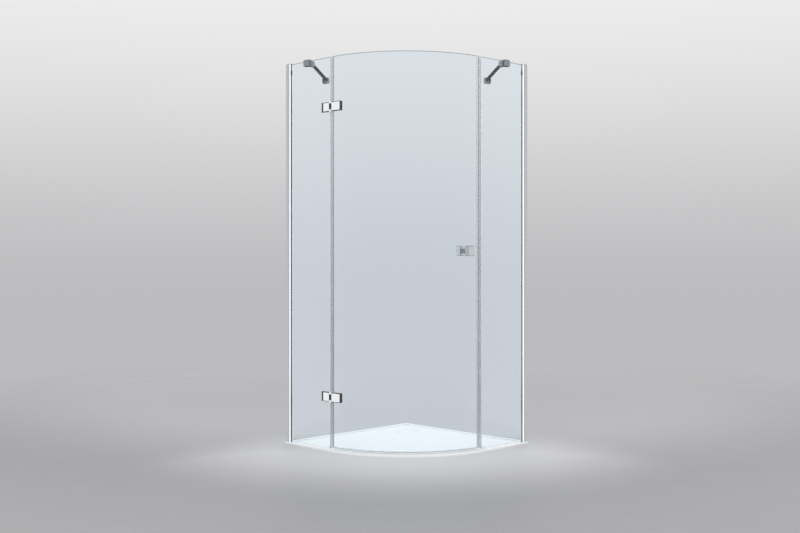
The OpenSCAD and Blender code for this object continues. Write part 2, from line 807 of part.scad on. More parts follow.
// Screws that pinch the glass through the inner pads, two on each clamp
module arm_pinch_screws() {
    color(steel) for (turn = [0, 1], x = pinch_xs) mirror([turn, turn, 0])
        pinch_at(x) translate([0, 0, 2 * over]) set_screw(pinch_r, arm_cheek_in - over);
}

// Set screws under the sockets and the round wall plates
module arm_set_screws() {
    tilt = sqrt(1 - pow(bar_run[2] / norm(bar_run), 2));
    under_bar = bar_r / tilt;
    color(steel) for (turn = [0, 1]) mirror([turn, turn, 0]) {
        translate(bar_stop - [0, 0, wall_socket_h / 2])
            set_screw(set_r, set_screw_l(wall_socket_h, under_bar));
        translate(bar_start - [0, 0, clamp_socket_h / 2])
            set_screw(set_r, set_screw_l(clamp_socket_h, under_bar));
        translate([base_t / 2, -wall_fixing_y, wall_fixing_z - rosette_r])
            set_screw(set_r, rosette_r - base_r - run_fit);
    }
}

// Length from a socket's lower end up to the bar's underside
function set_screw_l(h, under_bar) = h / 2 - under_bar - drop_fit;

// Section of a leaf from top to bottom, bevelled on its free face, with x outwards
module leaf_section(t) {
    half = leaf_h / 2;
    polygon([
        [0, -half],
        [t - leaf_bevel, -half],
        [t, leaf_bevel - half],
        [t, half - leaf_bevel],
        [t - leaf_bevel, half],
        [0, half]
    ]);
}

// Frame on one face of the hinge-side panel: x from the hinge axis, y away from the glass
module panel_face(inner) {
    translate([axis_x, inner * glass_t - glass_face, 0]) mirror([0, 1 - inner, 0]) children();
}

// Flat leaf on a panel's face, with a rounded free end and bevelled edges
module flat_leaf(t) {
    intersection() {
        translate([-leaf_l, pad_t, -leaf_h]) linear_extrude(2 * leaf_h) difference() {
            square([leaf_l - leaf_gap, t]);
            translate([0, t]) mirror([1, 0]) rounding(leaf_round);
        }
        translate([-leaf_l, pad_t, 0]) rotate([90, 0, 90]) linear_extrude(leaf_l) leaf_section(t);
    }
}

// Outer leaf on the fixed panel, with the lower knuckle round the bush
module panel_leaf(z) {
    tall = knuckle_h - collar_t / 2;
    color(chrome) translate([0, 0, z]) difference() {
        union() {
            panel_face(0) flat_leaf(leaf_t);
            translate([axis_x, -axis_y, -knuckle_h]) cylinder(r = knuckle_r, h = tall);
            translate([axis_x - leaf_gap - leaf_bevel, -axis_y - bridge_t / 2, leaf_bevel - leaf_h / 2])
                cube([leaf_gap + leaf_bevel, bridge_t, leaf_h / 2 - leaf_bevel - collar_t / 2]);
        }
        translate([axis_x, -axis_y, knuckle_floor - knuckle_h]) cylinder(r = bush_r, h = tall);
        translate([axis_x, -axis_y, -knuckle_h - over])
            cylinder(r = pin_r + run_fit, h = knuckle_floor + 2 * over);
        translate([axis_x - window_w / 2, -axis_y - 2 * knuckle_r, -window_h])
            cube([window_w, 2 * knuckle_r, window_h]);
        for (i = [-1, 1])
            panel_screw_at(i, 0) translate([0, 0, glass_t + pad_t])
                cylinder(r = leaf_screw_r, h = leaf_thread + over);
    }
}

// Inner plate that clamps the fixed panel, with countersunk holes
module panel_clamp(z) {
    color(chrome) difference() {
        translate([0, 0, z]) panel_face(1) flat_leaf(clamp_t);
        for (i = [-1, 1]) panel_screw_at(i, z) leaf_screw_cut();
    }
}

// Hole and countersink through a clamping plate, in a leaf screw's frame
module leaf_screw_cut() {
    translate([0, 0, -pad_t - clamp_t]) {
        cylinder(r = leaf_screw_r + run_fit, h = clamp_t + over);
        cylinder(r1 = leaf_head_r, r2 = leaf_screw_r, h = leaf_head_h);
        translate([0, 0, -over]) cylinder(r = leaf_head_r, h = over);
    }
}

// Countersunk screw through a clamping plate and the glass into the outer leaf
module leaf_screw() {
    reach = clamp_t + 2 * pad_t + glass_t + leaf_thread - drop_fit;
    translate([0, 0, -pad_t - clamp_t]) difference() {
        union() {
            cylinder(r = leaf_screw_r, h = reach);
            cylinder(r1 = leaf_head_r, r2 = leaf_screw_r, h = leaf_head_h);
        }
        translate([0, 0, -over])
            cylinder(d = hex_w / cos(30), h = leaf_head_h * 2 / 3 + over, $fn = 6);
    }
}

// Length of the sleeves that line the holes in the glass, one from each side
sleeve_l = glass_t / 2 - drop_fit;
// Start of such a sleeve, from the glass's inner face
function sleeve_from(inner) = inner == 1 ? -pad_t / 2 : glass_t - sleeve_l;
// Smaller radius of such a sleeve in the door, where it runs half way into its pad
function sleeve_r(inner) = inner == 1 ? arc_in - pad_t / 2 : arc_out - sleeve_l;

// Pads between the fixed leaves and the panel, with sleeves through the glass
module hinge_panel_pads() {
    tall = leaf_h - 2 * leaf_bevel;
    wide = leaf_l - leaf_gap - leaf_round / 2;
    color(black_rubber) for (z = [upper_z, lower_z], inner = [0, 1]) difference() {
        union() {
            translate([0, 0, z]) panel_face(inner)
                translate([-leaf_gap - wide, 0, -tall / 2]) cube([wide, pad_t, tall]);
            for (i = [-1, 1]) panel_screw_at(i, z) translate([0, 0, sleeve_from(inner)])
                cylinder(r = glass_hole_r, h = sleeve_l + pad_t / 2);
        }
        for (i = [-1, 1]) panel_screw_at(i, z) leaf_shank_cut();
    }
}

// Room for a leaf screw's shank through the glass and both pads
module leaf_shank_cut() {
    translate([0, 0, -pad_t - over])
        cylinder(r = leaf_screw_r + run_fit, h = glass_t + 2 * pad_t + 2 * over);
}

// Screws of the fixed leaves
module hinge_panel_screws() {
    color(steel) for (z = [upper_z, lower_z], i = [-1, 1]) panel_screw_at(i, z) leaf_screw();
}

// Bushes in the lower knuckles, each with a collar that the door's knuckle rides on
module hinge_bushes() {
    color(black_plastic) for (z = [upper_z, lower_z])
        translate([axis_x, -axis_y, z]) difference() {
            union() {
                translate([0, 0, knuckle_floor - knuckle_h])
                    cylinder(r = bush_r - run_fit, h = knuckle_h - knuckle_floor);
                translate([0, 0, -collar_t / 2]) cylinder(r = knuckle_r - drop_fit, h = collar_t);
            }
            translate([0, 0, -knuckle_h]) cylinder(r = pin_r + run_fit, h = 2 * knuckle_h);
        }
}

// Bushes in the upper knuckles, each pressed in and tight round its pin
module hinge_door_bushes() {
    color(black_plastic) for (z = [upper_z, lower_z])
        translate([axis_x, -axis_y, z + knuckle_low])
            ring(bush_r, pin_r, knuckle_h - knuckle_floor - knuckle_low);
}

// Curved door glass, drilled for the hinges and the knob
module door_glass() {
    color(clear_glass) difference() {
        arc_sweep(door_a0, door_a1) translate([arc_in, door_bottom])
            square([glass_t, glass_top - door_bottom]);
        for (z = [upper_z, lower_z], i = [-1, 1])
            door_screw_at(i, z) translate([0, 0, -over])
                cylinder(r = glass_hole_r, h = glass_t + 2 * over);
        at_angle(knob_a) translate([arc_in - over, 0, knob_z]) rotate([0, 90, 0])
            cylinder(r = stud_hole_r, h = glass_t + 2 * over);
    }
}

// Angles at which a door leaf begins and ends
leaf_a0 = across_deg(axis_x + leaf_gap - straight_l);
leaf_a1 = across_deg(axis_x + leaf_l - straight_l);

// Curved plate on the door at a hinge, with a rounded free end and bevelled edges
module door_plate(r_in, t, outward) {
    free_r = outward > 0 ? r_in + t : r_in;
    difference() {
        arc_sweep(leaf_a0, leaf_a1) translate([outward > 0 ? r_in : r_in + t, 0])
            mirror([outward > 0 ? 0 : 1, 0]) leaf_section(t);
        at_angle(leaf_a1) translate([free_r, 0, -leaf_h]) linear_extrude(2 * leaf_h)
            mirror([outward > 0 ? 0 : 1, 0]) rounding(leaf_round);
    }
}

// Outer leaf on the door, with the upper knuckle round the bush that holds the pin
module door_leaf(z) {
    color(chrome) translate([0, 0, z]) difference() {
        union() {
            door_plate(arc_out + pad_t, leaf_t, 1);
            translate([axis_x, -axis_y, knuckle_low])
                cylinder(r = knuckle_r, h = knuckle_h - knuckle_low);
            translate([axis_x, -axis_y - bridge_t / 2, knuckle_low])
                cube([leaf_gap + leaf_bevel, bridge_t, leaf_h / 2 - leaf_bevel - knuckle_low]);
        }
        translate([axis_x, -axis_y, -knuckle_floor]) cylinder(r = bush_r, h = knuckle_h);
        translate([axis_x, -axis_y, 0]) cylinder(r = pin_r, h = knuckle_h + over);
        translate([axis_x - window_w / 2, -axis_y - 2 * knuckle_r, 0])
            cube([window_w, 2 * knuckle_r, window_h]);
        for (i = [-1, 1])
            door_screw_at(i, 0) translate([0, 0, glass_t + pad_t])
                cylinder(r = leaf_screw_r, h = leaf_thread + over);
    }
}

// Inner plate that clamps the door glass, with countersunk holes
module door_clamp(z) {
    color(chrome) difference() {
        translate([0, 0, z]) door_plate(arc_in - pad_t - clamp_t, clamp_t, -1);
        for (i = [-1, 1]) door_screw_at(i, z) leaf_screw_cut();
    }
}

// Pads between the door leaves and the glass, with sleeves through the glass
module hinge_door_pads() {
    tall = leaf_h - 2 * leaf_bevel;
    end = leaf_a1 - along_deg(leaf_round / 2, arc_mid);
    color(black_rubber) for (z = [upper_z, lower_z], inner = [0, 1]) difference() {
        union() {
            arc_sweep(leaf_a0, end) translate([inner == 0 ? arc_out : arc_in - pad_t, z - tall / 2])
                square([pad_t, tall]);
            intersection() {
                for (i = [-1, 1]) door_screw_at(i, z) translate([0, 0, -pad_t - over])
                    cylinder(r = glass_hole_r, h = glass_t + 2 * pad_t + 2 * over);
                arc_sweep(leaf_a0, end) translate([sleeve_r(inner), z - tall / 2])
                    square([sleeve_l + pad_t / 2, tall]);
            }
        }
        for (i = [-1, 1]) door_screw_at(i, z) leaf_shank_cut();
    }
}

// Screws of the door leaves
module hinge_door_screws() {
    color(steel) for (z = [upper_z, lower_z], i = [-1, 1]) door_screw_at(i, z) leaf_screw();
}

// Pins held by the door's bushes, turning in the panel's
module hinge_pins() {
    color(steel) for (z = [upper_z, lower_z])
        translate([axis_x, -axis_y, z - knuckle_h]) cylinder(r = pin_r, h = 2 * knuckle_h);
}

// Seal on the door's hinge edge, in three lengths between the hinges
module hinge_side_seal() {
    gap = knuckle_h + seal_end_gap;
    bands = [
        [door_bottom, lower_z - gap],
        [lower_z + gap, upper_z - gap],
        [upper_z + gap, seal_top]
    ];
    leg_a = door_a0 + along_deg(seal_leg_l, arc_mid);
    web_a = door_a0 - along_deg(seal_web_t, arc_mid);
    fin_a = across_deg(left_end + fin_gap - straight_l);
    color(clear_plastic) for (band = bands) {
        tall = band[1] - band[0];
        difference() {
            arc_sweep(web_a, leg_a) translate([arc_in - seal_leg_t, band[0]])
                square([glass_t + 2 * seal_leg_t, tall]);
            arc_sweep(door_a0, leg_a + along_deg(over, arc_mid)) translate([arc_in, band[0] - over])
                square([glass_t, tall + 2 * over]);
        }
        arc_sweep(fin_a, (web_a + door_a0) / 2) translate([arc_out - seal_leg_t / 2, band[0]])
            square([seal_leg_t, tall]);
    }
}

// Clear seal under the door, with a lip that sweeps over the rail
module door_bottom_seal() {
    a0 = door_a0 + along_deg(seal_leg_l + seal_web_t, arc_mid);
    a1 = door_a1 - along_deg(seal_leg_l + seal_web_t, arc_mid);
    color(clear_plastic) arc_sweep(a0, a1) difference() {
        union() {
            translate([arc_in - seal_leg_t, door_bottom - seal_leg_t])
                square([glass_t + 2 * seal_leg_t, seal_leg_l + seal_leg_t]);
            translate([arc_mid, rail_top + sweep_gap])
                polygon([
                    [-seal_leg_t / 2, 0],
                    [seal_leg_t / 2, 0],
                    [seal_leg_t, drip_h + seal_leg_t / 2],
                    [-seal_leg_t, drip_h + seal_leg_t / 2]
                ]);
        }
        translate([arc_in, door_bottom]) square([glass_t, seal_leg_l + over]);
    }
}

// Knob: a soft-edged block on a round stem, standing out along x from the glass
module knob() {
    head_from = washer_t + stem_l;
    difference() {
        union() {
            intersection() {
                translate([head_from, 0, 0]) rotate([90, 0, 90])
                    linear_extrude(knob_d) soft_square(knob_w, knob_h, knob_round);
                translate([head_from, 0, -knob_h]) linear_extrude(2 * knob_h) half_soft(knob_w);
                translate([head_from, knob_w, 0]) rotate([90, 0, 0])
                    linear_extrude(2 * knob_w) half_soft(knob_h);
            }
            translate([washer_t, 0, 0]) rotate([0, 90, 0])
                cylinder(r = stem_r, h = stem_l + knob_round);
        }
        rotate([0, 90, 0]) cylinder(r = stud_r, h = washer_t + stud_in);
    }
}

// Outline of the knob's head from above or from the side, soft at its front corners
module half_soft(w) {
    difference() {
        translate([0, -w / 2]) square([knob_d, w]);
        for (i = [0, 1]) mirror([0, i]) translate([knob_d, w / 2]) rounding(knob_round);
    }
}

// Knob outside the door
module outer_knob() {
    color(satin_chrome) at_angle(knob_a) translate([arc_out, 0, knob_z]) knob();
}

// Knob inside the door
module inner_knob() {
    color(satin_chrome) at_angle(knob_a) translate([arc_in - washer_sag, 0, knob_z])
        mirror([1, 0, 0]) knob();
}

// Stud that joins the knobs through the glass
module knob_stud() {
    long = glass_t + 2 * (washer_t + stud_in - drop_fit);
    color(steel) at_angle(knob_a) translate([arc_mid - long / 2, 0, knob_z])
        rotate([0, 90, 0]) cylinder(r = stud_r, h = long);
}

// Clear washers between the knobs and the glass, each with a sleeve in the hole
module knob_washers() {
    color(clear_plastic) at_angle(knob_a) for (i = [0, 1])
        translate([arc_mid, 0, knob_z]) mirror([i, 0, 0]) rotate([0, 90, 0]) difference() {
            union() {
                translate([0, 0, drop_fit]) cylinder(r = stud_hole_r, h = sleeve_l + i * washer_sag);
                translate([0, 0, glass_t / 2 + i * washer_sag])
                    cylinder(r = stem_r + washer_t, h = washer_t);
            }
            translate([0, 0, -over]) cylinder(r = stud_r, h = glass_t + washer_t + over);
        }
}

shower_tray();
waste_cover();
wall_channel();  // left_wall_channel
right() wall_channel();  // right_wall_channel
glazing_profile();  // left_glazing_profile
right() glazing_profile();  // right_glazing_profile
profile_gaskets();  // left_profile_gaskets
right() profile_gaskets();  // right_profile_gaskets
profile_cap();  // left_profile_cap
right() profile_cap();  // right_profile_cap
profile_lock_screws();
left_glass_panel();
right_glass_panel();
bottom_seal();  // left_bottom_seal
right() bottom_seal();  // right_bottom_seal
strike_seal();
strike_magnet();
threshold_rail();
threshold_end(left_end);  // left_threshold_end
right() threshold_end(right_end);  // right_threshold_end
arm_clamp();  // left_arm_clamp
right() arm_clamp();  // right_arm_clamp
arm_pads();  // left_arm_pads
right() arm_pads();  // right_arm_pads
arm_bar();  // left_arm_bar
right() arm_bar();  // right_arm_bar
arm_wall_socket();  // left_arm_wall_socket
right() arm_wall_socket();  // right_arm_wall_socket
arm_wall_base();  // left_arm_wall_base
right() arm_wall_base();  // right_arm_wall_base
arm_pinch_screws();
arm_set_screws();
panel_leaf(upper_z);  // upper_hinge_panel_leaf
panel_leaf(lower_z);  // lower_hinge_panel_leaf
panel_clamp(upper_z);  // upper_hinge_panel_clamp
panel_clamp(lower_z);  // lower_hinge_panel_clamp
hinge_panel_pads();
hinge_panel_screws();
hinge_bushes();
door_glass();
door_leaf(upper_z);  // upper_hinge_door_leaf
door_leaf(lower_z);  // lower_hinge_door_leaf
door_clamp(upper_z);  // upper_hinge_door_clamp
door_clamp(lower_z);  // lower_hinge_door_clamp
hinge_door_pads();
hinge_door_screws();
hinge_door_bushes();
hinge_pins();
hinge_side_seal();
door_magnet_seal();
door_magnet();
door_bottom_seal();
outer_knob();
inner_knob();
knob_stud();
knob_washers();
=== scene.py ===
"""Looks for a corner shower enclosure: finishes for its solids, and a plain studio stage."""

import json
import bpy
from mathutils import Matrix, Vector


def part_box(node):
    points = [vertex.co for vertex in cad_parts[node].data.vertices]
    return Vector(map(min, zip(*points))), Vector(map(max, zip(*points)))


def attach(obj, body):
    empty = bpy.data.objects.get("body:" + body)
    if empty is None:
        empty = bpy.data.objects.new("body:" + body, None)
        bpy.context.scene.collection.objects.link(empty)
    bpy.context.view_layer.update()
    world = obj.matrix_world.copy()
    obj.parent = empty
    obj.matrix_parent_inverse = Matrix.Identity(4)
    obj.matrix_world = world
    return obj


bl_info = {
    "name": "Corner shower enclosure",
    "version": (1, 0, 0),
    "blender": (4, 5, 0),
    "location": "3D View > Sidebar > Shower",
    "description": "Finishes and stage for a corner shower enclosure with a curved glass door",
    "category": "Object",
}

import bmesh
import bpy
import numpy as np

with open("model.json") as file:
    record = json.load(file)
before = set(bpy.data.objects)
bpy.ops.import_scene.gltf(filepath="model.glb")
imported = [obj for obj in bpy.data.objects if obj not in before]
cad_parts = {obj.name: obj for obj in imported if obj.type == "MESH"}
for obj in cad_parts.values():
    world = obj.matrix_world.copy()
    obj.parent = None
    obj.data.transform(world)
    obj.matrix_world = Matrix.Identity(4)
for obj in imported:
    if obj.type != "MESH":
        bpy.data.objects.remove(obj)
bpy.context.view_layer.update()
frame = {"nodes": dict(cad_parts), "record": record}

# Lengths are in metres. Each pair that a share rises over gives where it is 0 and where it is 1.
# Centre of the round corner, as far from one wall as from the other
ARC_CENTRE = (0.358, -0.358, 0)
# Refractive indices
GLASS_INDEX, PVC_INDEX = 1.52, 1.45
# Stretch of the noise on what a die draws out: along the upright profiles, and along the seals
DRAWN, EXTRUDED = (1, 1, 120), (1, 1, 200)
# Chrome that faces the room in front, free of the painted dark reflection: over the size of its
# normal's Y
CHROME_FACED = (0.9, 0.97)
# Part of a panel leaf past the end strip with a painted dark reflection: over the distance from its
# outer end
LEAF_PAST_PAINTED_END = (0.017, 0.0185)
# Knuckle kept free of the painted dark reflection: over the distance in X from the hinge axis
KNUCKLE_BRIGHT = (0.0078, 0.0072)
# Tray's top, which keeps the plain white, free of the painted shade: over its normal's Z
TRAY_UPWARD = (0.3, 0.8)
# Inside of the tray: over the distance from the centre of the round corner
TRAY_INSIDE = (0.47, 0.45)
# Thickness of the arrises, how far they stand off the glass, and the least width to set
ARRIS_THICK, ARRIS_GAP, THINNEST = 0.00018, 0.00002, 0.0005
# Points along the fold of an arris and along each curved one
FOLD_POINTS, CURVE_POINTS = 5, 90
# Floor: its centre, how far it reaches, its spokes and rings, and how far it lies under the tray
FLOOR_CENTRE, FLOOR_REACH = (0.4, -0.4), 9
FLOOR_SPOKES, FLOOR_RINGS = 96, 24
FLOOR_DROP = 0.0003
# Shares of the floor, each over the distance from a point of it: its front colour, the colour round
# the pool of light (the larger of two), its loss behind glass, and its loss into the backdrop
FLOOR_FRONT = ((-1.2, 1.2, 0), (1.9, 3.4))
FLOOR_DUSK = (((0.35, -0.35, 0), (0.35, 1.6)), ((0.9, -0.9, 0), (0.5, 1.3)))
FLOOR_BEHIND = ((2.0, -2.0, 0), (2.3, 2.6))
FLOOR_END = ((0.4, -0.4, 0), (1.2, 5.0))
# Pale top of the backdrop: over the sine of the height
BACKDROP_RISE = (-0.05, 0.27)
# Ceiling and floor that metal and glass mirror: over the size of that sine
ROOM_ENDS = (0.3, 0.6)
# Lamps: where they stand, where they point and how large they are
LAMPS = {
    "key": ((1.6, -3.6, 3.4), (0.4, -0.5, 0.9), (2.4, 2.0)),
    "fill": ((3.4, 0.4, 2.6), (0.4, -0.4, 0.9), (1.6, 2.2)),
}
# Camera's sensor width, in millimetres, and how far it sees
SENSOR, SIGHT = 36, 100


def linear(colour):
    """Turns an sRGB hex colour into linear red, green and blue."""
    c = np.array([int(colour[i : i + 2], 16) for i in (1, 3, 5)]) / 255
    return tuple(np.where(c <= 0.04045, c / 12.92, ((c + 0.055) / 1.055) ** 2.4))


# Settings


def colour_setting(name, words, value):
    """A setting for a colour, whose value is an sRGB hex colour."""
    return bpy.props.FloatVectorProperty(
        name=name, description=words, default=linear(value), min=0, max=1, size=3, subtype="COLOR"
    )


def length_setting(name, words, value, low=0.0):
    """A setting for a length, which can't go under low."""
    return bpy.props.FloatProperty(
        name=name, description=words, default=value, min=low, unit="LENGTH"
    )


class ShowerFinishes(bpy.types.PropertyGroup):
    """Colours of the finishes, and widths of the glass's arrises"""

    glass: colour_setting("Glass", "Tint of the clear glass over its whole thickness", "#eef4f8")
    edge: colour_setting("Level edges", "Colour of the ground arrises along the glass", "#98a2a4")
    # The upright arrises' pale colour is partly a painted highlight
    polished: colour_setting("Upright edges", "Colour of the paler upright arrises", "#f2f6f9")
    chrome: colour_setting("Chrome", "Reflection colour of the chrome plate", "#dcdddd")
    # Colour of the painted dark reflection on chrome bevels and ends
    bevel: colour_setting("Chrome bevels", "Reflection colour of the bevels and ends", "#4a4d50")
    knob: colour_setting("Knobs", "Reflection colour of the satin chrome", "#bababa")
    # The knob inside: a lighter copy of the knobs' satin chrome, painted light
    inner: colour_setting("Inner knob", "Reflection colour of the knob inside", "#c8cacc")
    # The bars' very dark colour is a painted dark reflection
    arms: colour_setting("Arms", "Reflection colour of the arms' bars", "#1e2225")
    clamps: colour_setting("Arm clamps", "Reflection colour of the clamps and sockets", "#848687")
    aluminium: colour_setting("Aluminium", "Reflection colour of the glazing profiles", "#f2f3f3")
    rail: colour_setting("Threshold", "Reflection colour of the rail and its ends", "#d4d6d8")
    channel: colour_setting("Wall channels", "Reflection colour of the wall channels", "#afb0b1")
    steel: colour_setting("Steel", "Reflection colour of the screws and pins", "#9ea3a7")
    seal: colour_setting("Seals", "Colour of the translucent seals", "#eef2f5")
    milky: colour_setting("Hinge-side seal", "Colour of the seal beside the hinges", "#a3a9ae")
    magnet: colour_setting("Magnet strip", "Colour of the door's magnet strip", "#d3d6d8")
    pale: colour_setting("Strike magnet", "Colour of the fixed panel's magnet strip", "#d5dadd")
    rubber: colour_setting("Rubber", "Colour of the gaskets and pads", "#1f2123")
    plastic: colour_setting("Black plastic", "Colour of the bushes", "#26282a")
    # The skirt's greyer colour is a painted shade
    skirt: colour_setting("Tray's skirt", "Colour of the tray's outer upright faces", "#dfe3e6")
    tray: colour_setting("Tray", "Colour of the tray's gel coat", "#fafcfd")
    arris: length_setting("Level arris", "Width of the level arrises", 0.0022, THINNEST)
    upright: length_setting("Upright arris", "Width of the upright arrises", 0.0029, THINNEST)


class ShowerStage(bpy.types.PropertyGroup):
    """Colours of the floor and the background, the camera and the lamps"""

    floor: colour_setting("Floor", "Colour of the floor round the tray", "#d5d5d7")
    floor_front: colour_setting("Floor, front", "Colour of the floor in front of it", "#98989a")
    floor_back: colour_setting("Floor, back", "Colour of the floor behind it", "#b4b4b6")
    upper: colour_setting("Backdrop, top", "Background colour high up", "#eeeeef")
    lower: colour_setting("Backdrop, bottom", "Background colour at the floor", "#bcbcbe")
    behind: colour_setting("Backdrop behind glass", "Background low down behind glass", "#d1d2d6")
    around: colour_setting("Surroundings", "Colour of the walls that metal reflects", "#fafbfe")
    above: colour_setting("Ceiling", "Colour of the dark ceiling that metal reflects", "#3c3f42")
    below: colour_setting("Below", "Colour of the floor that metal reflects", "#a8a8aa")
    glow: bpy.props.FloatProperty(
        name="Surroundings' glow", description="Strength of those bright walls", default=1.25, min=0
    )
    ambient: bpy.props.FloatProperty(
        name="Ambient", description="Strength of the even light", default=0.93, min=0
    )
    camera_away: length_setting("Camera distance", "From the room's corner to the camera", 6.301)
    camera_up: length_setting("Camera height", "Height of the camera above the floor", 0.968)
    lens: bpy.props.FloatProperty(
        name="Lens", description="Focal length on a 36 mm wide sensor", default=48.75, min=1,
        subtype="DISTANCE_CAMERA",
    )
    shift_x: bpy.props.FloatProperty(
        name="Shift X", description="Sideways shift of the picture", default=-0.0083
    )
    shift_y: bpy.props.FloatProperty(
        name="Shift Y", description="Upward shift of the picture", default=-0.0103
    )
    key: bpy.props.FloatProperty(
        name="Key lamp", description="Power of the large lamp in front", default=48, min=0,
        subtype="POWER",
    )
    fill: bpy.props.FloatProperty(
        name="Fill lamp", description="Power of the lamp at the side", default=22, min=0,
        subtype="POWER",
    )


# Nodes


def add(tree, kind, inputs=None, **settings):
    """Adds a node: settings are its properties, inputs are values or the sockets that feed it."""
    node = tree.nodes.new(kind)
    for name, value in settings.items():
        setattr(node, name, value)
    for name, value in (inputs or {}).items():
        if isinstance(value, bpy.types.NodeSocket):
            tree.links.new(value, node.inputs[name])
        else:
            node.inputs[name].default_value = value
    return node


def new_tree(name):
    """A material with nothing in its node tree yet."""
    material = bpy.data.materials.new(name)
    material.use_nodes = True
    material.node_tree.nodes.clear()
    return material, material.node_tree


def finish(tree, shader, volume=None):
    """Sends a shader, and a volume's if there is one, to the material's output."""
    inputs = {"Surface": shader.outputs[0]}
    if volume is not None:
        inputs["Volume"] = volume.outputs[0]
    add(tree, "ShaderNodeOutputMaterial", inputs)


def noise(tree, scale, detail=2.0, stretch=(1, 1, 1)):
    """Noise of scale grains a metre, drawn out by stretch along each axis."""
    place = add(tree, "ShaderNodeTexCoord").outputs["Object"]
    mapping = add(tree, "ShaderNodeMapping", {"Vector": place, "Scale": [1 / s for s in stretch]})
    return add(
        tree, "ShaderNodeTexNoise",
        {"Vector": mapping.outputs[0], "Scale": scale, "Detail": detail},
    ).outputs["Fac"]


def bumped(tree, value, depth, strength=1.0):
    """A normal that follows a value as if it were a relief of that depth."""
    return add(
        tree, "ShaderNodeBump", {"Height": value, "Distance": depth, "Strength": strength}
    ).outputs[0]


def ranged(tree, value, low, high):
    """A value of 0 to 1, spread from low to high."""
    return add(
        tree, "ShaderNodeMapRange", {"Value": value, "To Min": low, "To Max": high}
    ).outputs[0]


def share(tree, value, none, full, shape="LINEAR"):
    """A share that is 0 where the value is none, and 1 where it is full."""
    return add(
        tree, "ShaderNodeMapRange", {"Value": value, "From Min": none, "From Max": full},
        interpolation_type=shape,
    ).outputs[0]


def worked(tree, operation, first, second=0.0):
    """The result of a sum on one value or two."""
    return add(tree, "ShaderNodeMath", {0: first, 1: second}, operation=operation).outputs[0]


def along(tree, vector, axis):
    """A vector's part along an axis."""
    return add(tree, "ShaderNodeSeparateXYZ", {0: vector}).outputs[axis]


def away(tree, place, centre):
    """How far a place is from a centre."""
    return add(
        tree, "ShaderNodeVectorMath", {0: place, 1: centre}, operation="DISTANCE"
    ).outputs["Value"]


def blended(tree, part, first, second):
    """The first colour, and a part of the second over it. Either may be a node's output."""
    ends = [c if isinstance(c, bpy.types.NodeSocket) else (*c, 1) for c in (first, second)]
    return add(
        tree, "ShaderNodeMix", {"Factor": part, 6: ends[0], 7: ends[1]}, data_type="RGBA"
    ).outputs[2]


def tinted(tree, value, colour, dark):
    """The colour, varied down to a share dark of itself."""
    return blended(tree, value, [c * dark for c in colour], colour)


def mixed(tree, part, first, second):
    """The first shader, with a part of it replaced by the second."""
    return add(
        tree, "ShaderNodeMixShader", {0: part, 1: first.outputs[0], 2: second.outputs[0]}
    )


# Materials


def glass_material(colour):
    """Toughened float glass: clear with a cold tint that deepens along the edges, and the faint
    waves 0.3 m long that the furnace's rollers leave, which bend its reflections a little. Those
    are dimmed, so the panes stay as clear as in the photo. Its shadow is pale."""
    material, tree = new_tree("toughened_float_glass")
    waves = bumped(tree, noise(tree, 3.2, detail=1.0), depth=0.0006, strength=0.25)
    body = add(
        tree, "ShaderNodeBsdfPrincipled",
        {"Base Color": (*colour, 1), "Roughness": 0.0, "IOR": GLASS_INDEX,
         "Transmission Weight": 1.0, "Specular Tint": (0.45, 0.5, 0.56, 1), "Normal": waves},
    )
    passed = add(tree, "ShaderNodeBsdfTransparent", {"Color": (*[c**0.25 for c in colour], 1)})
    shadow = add(tree, "ShaderNodeLightPath").outputs["Is Shadow Ray"]
    depth = add(
        tree, "ShaderNodeVolumeAbsorption", {"Color": (*linear("#9fc3bf"), 1), "Density": 4.0}
    )
    finish(tree, mixed(tree, shadow, body, passed), depth)
    return material


def edge_material(name, colour, clear):
    """Ground arris on toughened glass: frosted by the grinding wheel, so it catches light as a thin
    pale line, with wheel marks 1 mm apart along it. The share that is clear passes straight
    through, and is larger on polished ones. On the upright ones the paler colour is partly a
    painted highlight along the glass's edge."""
    material, tree = new_tree(name)
    marks = noise(tree, 1000)
    body = add(
        tree, "ShaderNodeBsdfPrincipled",
        {"Base Color": tinted(tree, marks, colour, dark=0.9), "IOR": GLASS_INDEX,
         "Roughness": ranged(tree, marks, 0.35, 0.5),
         "Normal": bumped(tree, marks, depth=0.00003)},
    )
    passed = add(tree, "ShaderNodeBsdfTransparent", {"Color": (0.98, 0.99, 1, 1)})
    finish(tree, mixed(tree, clear, body, passed))
    return material


def metal_material(name, colour, rough, scale, stretch=(1, 1, 1), depth=0.0, rim=1.0):
    """A bare metal whose roughness varies over the range given, with its grain or polish. Its rim
    is how much of the usual shine is left where it is seen aslant."""
    material, tree = new_tree(name)
    grain = noise(tree, scale, detail=3.0, stretch=stretch)
    inputs = {
        "Base Color": tinted(tree, grain, colour, dark=0.96), "Metallic": 1.0,
        "Roughness": ranged(tree, grain, *rough), "Specular Tint": (rim, rim, rim, 1),
    }
    if depth:
        inputs["Normal"] = bumped(tree, grain, depth)
    finish(tree, add(tree, "ShaderNodeBsdfPrincipled", inputs))
    return material


